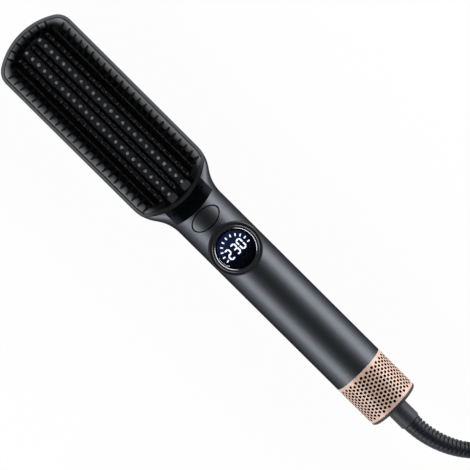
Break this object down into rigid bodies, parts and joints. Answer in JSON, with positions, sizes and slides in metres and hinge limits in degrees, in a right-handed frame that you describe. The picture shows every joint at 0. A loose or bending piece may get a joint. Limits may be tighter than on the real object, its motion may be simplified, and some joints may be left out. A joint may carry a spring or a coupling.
{
  "type": "steam hair straightener brush",
  "caption": "Straightening hair brush with a heated comb field, steam outlet, round display with turning ring, perforated tail sleeve and swivelling mains cord.",
  "frame": {"origin": "under the middle of the brush without its cord, on the surface that it lies on", "axes": "+X from the head's tip to the cord, +Y across the brush, +Z out of the bristle side"},
  "size_m": [0.5508, 0.066, 0.0374],
  "materials": {
    "casing_gunmetal": "satin dark gunmetal lacquer on moulded casing",
    "frame_black": "smooth black moulded frame with a polished rim",
    "bristle_black": "black heat-resistant nylon",
    "plate_ceramic": "dark grey ceramic coating",
    "outlet_black": "glossy black",
    "button_black": "smooth satin black",
    "seat_black": "glossy black",
    "dial_chrome": "polished dark chrome",
    "lens_glass": "clear smoked window",
    "display_unit": "dark blue lit display",
    "sleeve_rose_gold": "satin pale rose gold",
    "tail_black": "polished black",
    "cable_black": "black flexible rubber",
    "tie_black": "black tie band",
    "heater_white": "white ceramic heating element",
    "film_amber": "amber heat-resistant film",
    "inner_aluminium": "bare",
    "felt_grey": "grey heat felt",
    "silicone_grey": "soft silicone",
    "tank_clear": "translucent moulded tank",
    "pump_grey": "grey moulded pump",
    "board_green": "green circuit board",
    "component_black": "black electronic parts",
    "wire_red": "insulated wire",
    "contact_brass": "plated brass",
    "screw_steel": "plated steel",
    "core_black": "black moulded",
    "magnet_grey": "bare magnet"
  },
  "bodies": {
    "handle": {"board_screws": "screw_steel", "bristle_row_inner_left": "bristle_black", "bristle_row_inner_right": "bristle_black", "bristle_row_middle": "bristle_black", "bristle_row_outer_left": "bristle_black", "bristle_row_outer_right": "bristle_black", "bristle_row_tip": "bristle_black", "button_return_dome": "silicone_grey", "button_switch": "component_black", "casing_screws": "screw_steel", "clamp_plate": "inner_aluminium", "comb_frame": "frame_black", "contact_carrier": "core_black", "contact_fingers": "contact_brass", "control_board": "board_green", "dial_seat": "seat_black", "display_housing": "seat_black", "display_lens": "lens_glass", "display_module": "display_unit", "filler_plug": "silicone_grey", "front_shell": "casing_gunmetal", "heat_shield_pad": "felt_grey", "heater_elements": "heater_white", "heater_wires": "wire_red", "heating_plate": "plate_ceramic", "insulating_film": "film_amber", "main_board": "board_green", "mains_wires": "wire_red", "perforated_sleeve": "sleeve_rose_gold", "power_components": "component_black", "rear_shell": "casing_gunmetal", "steam_chamber": "inner_aluminium", "steam_gasket": "silicone_grey", "steam_manifold": "core_black", "steam_outlet": "outlet_black", "tail_core": "core_black", "tail_ring": "tail_black", "temperature_sensor": "component_black", "thermal_fuse": "contact_brass", "water_pump": "pump_grey", "water_tank": "tank_clear", "water_tubes": "silicone_grey"},
    "button": {"power_button": "button_black"},
    "dial": {"dial_ring": "dial_chrome", "dial_magnet": "magnet_grey"},
    "cord_end": {"swivel_collar": "tail_black", "slip_rings": "contact_brass", "strain_relief": "cable_black", "cord": "cable_black", "cord_hank": "cable_black", "cord_tie": "tie_black", "plug_body": "cable_black", "plug_pins": "screw_steel"}
  },
  "joints": [
    {"name": "power_button_press", "type": "slide", "parent": "handle", "child": "button", "axis": [0, 0, -1], "range_m": [0, 0.0008], "stiffness_N_per_m": 1500, "deforming": ["button_return_dome"]},
    {"name": "dial_turn", "type": "hinge", "parent": "handle", "child": "dial", "pos_m": [0.01425, 0, 0.034], "axis": [0, 0, 1], "continuous": true},
    {"name": "cord_swivel", "type": "hinge", "parent": "handle", "child": "cord_end", "pos_m": [0.1442, 0, 0.0166], "axis": [1, 0, 0], "continuous": true}
  ]
}
